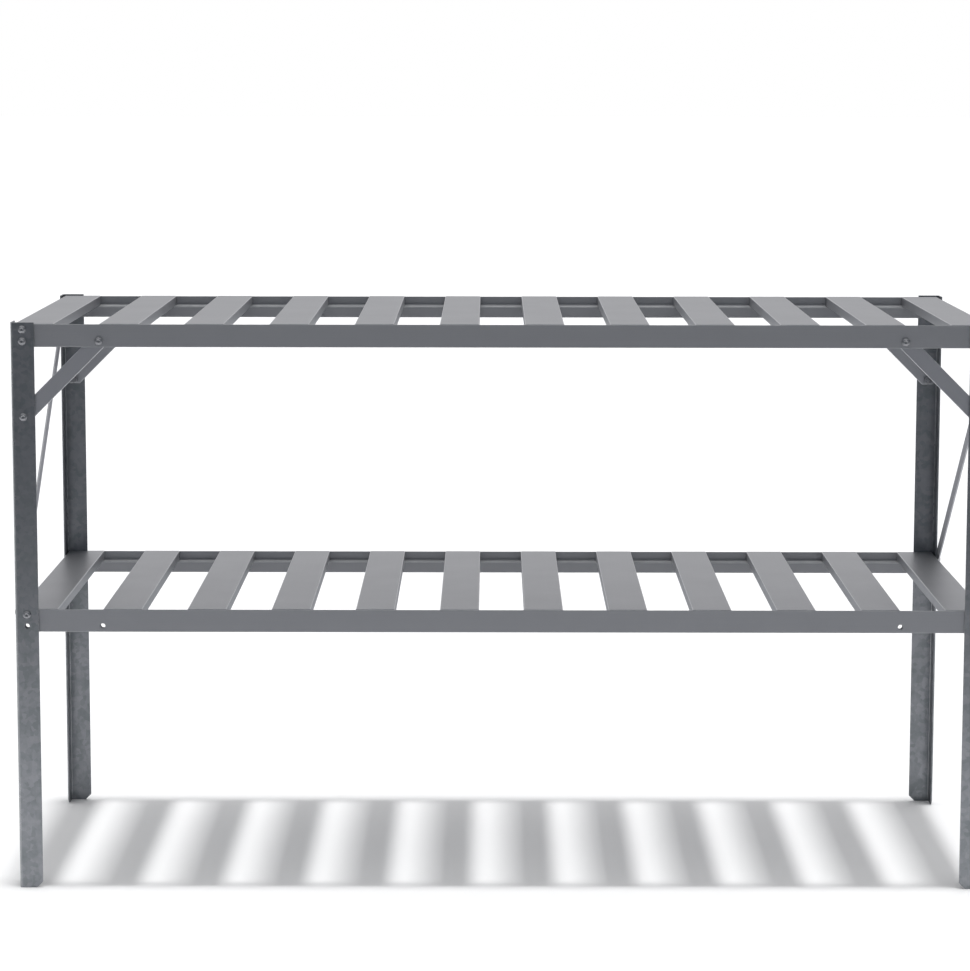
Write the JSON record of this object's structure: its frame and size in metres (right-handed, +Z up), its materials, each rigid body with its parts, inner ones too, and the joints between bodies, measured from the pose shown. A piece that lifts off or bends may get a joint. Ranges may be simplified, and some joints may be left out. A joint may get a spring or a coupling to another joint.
{
  "type": "potting bench",
  "caption": "Two-tier metal potting bench with slatted shelves on ledged rails, angle legs, corner braces and side diagonals.",
  "frame": {"origin": "on the floor under the middle of the bench", "axes": "+X along the bench, +Y from front to back, +Z up"},
  "size_m": [1.2589, 0.5066, 0.736],
  "materials": {
    "galvanised_steel": "hot-dip galvanised, dull blue-grey with a fine spangle",
    "rail_aluminium": "mill-finish extrusion, mid grey with a fine lengthwise grain",
    "slat_aluminium": "satin, light grey with bright rounded long edges",
    "zinc_bar": "zinc-plated flat bar, mid grey, satin",
    "zinc_fasteners": "bright zinc plating"
  },
  "bodies": {
    "root": {"leg_front_left": "galvanised_steel", "leg_front_right": "galvanised_steel", "leg_rear_left": "galvanised_steel", "leg_rear_right": "galvanised_steel", "upper_rail_front": "rail_aluminium", "upper_rail_rear": "rail_aluminium", "lower_rail_front": "rail_aluminium", "lower_rail_rear": "rail_aluminium", "upper_slat_01": "slat_aluminium", "upper_slat_02": "slat_aluminium", "upper_slat_03": "slat_aluminium", "upper_slat_04": "slat_aluminium", "upper_slat_05": "slat_aluminium", "upper_slat_06": "slat_aluminium", "upper_slat_07": "slat_aluminium", "upper_slat_08": "slat_aluminium", "upper_slat_09": "slat_aluminium", "upper_slat_10": "slat_aluminium", "upper_slat_11": "slat_aluminium", "upper_slat_12": "slat_aluminium", "lower_slat_01": "slat_aluminium", "lower_slat_02": "slat_aluminium", "lower_slat_03": "slat_aluminium", "lower_slat_04": "slat_aluminium", "lower_slat_05": "slat_aluminium", "lower_slat_06": "slat_aluminium", "lower_slat_07": "slat_aluminium", "lower_slat_08": "slat_aluminium", "lower_slat_09": "slat_aluminium", "lower_slat_10": "slat_aluminium", "lower_slat_11": "slat_aluminium", "lower_slat_12": "slat_aluminium", "corner_brace_front_left": "zinc_bar", "corner_brace_front_right": "zinc_bar", "corner_brace_rear_left": "zinc_bar", "corner_brace_rear_right": "zinc_bar", "side_diagonal_left": "zinc_bar", "side_diagonal_right": "zinc_bar", "front_left_upper_rail_bolt_high": "zinc_fasteners", "front_left_upper_rail_bolt_low": "zinc_fasteners", "front_left_lower_rail_bolt": "zinc_fasteners", "front_left_brace_foot_bolt": "zinc_fasteners", "front_left_brace_head_bolt": "zinc_fasteners", "front_right_upper_rail_bolt_high": "zinc_fasteners", "front_right_upper_rail_bolt_low": "zinc_fasteners", "front_right_lower_rail_bolt": "zinc_fasteners", "front_right_brace_foot_bolt": "zinc_fasteners", "front_right_brace_head_bolt": "zinc_fasteners", "rear_left_upper_rail_bolt_high": "zinc_fasteners", "rear_left_upper_rail_bolt_low": "zinc_fasteners", "rear_left_lower_rail_bolt": "zinc_fasteners", "rear_left_brace_foot_bolt": "zinc_fasteners", "rear_left_brace_head_bolt": "zinc_fasteners", "rear_right_upper_rail_bolt_high": "zinc_fasteners", "rear_right_upper_rail_bolt_low": "zinc_fasteners", "rear_right_lower_rail_bolt": "zinc_fasteners", "rear_right_brace_foot_bolt": "zinc_fasteners", "rear_right_brace_head_bolt": "zinc_fasteners", "left_diagonal_top_bolt": "zinc_fasteners", "right_diagonal_top_bolt": "zinc_fasteners"}
  },
  "joints": []
}
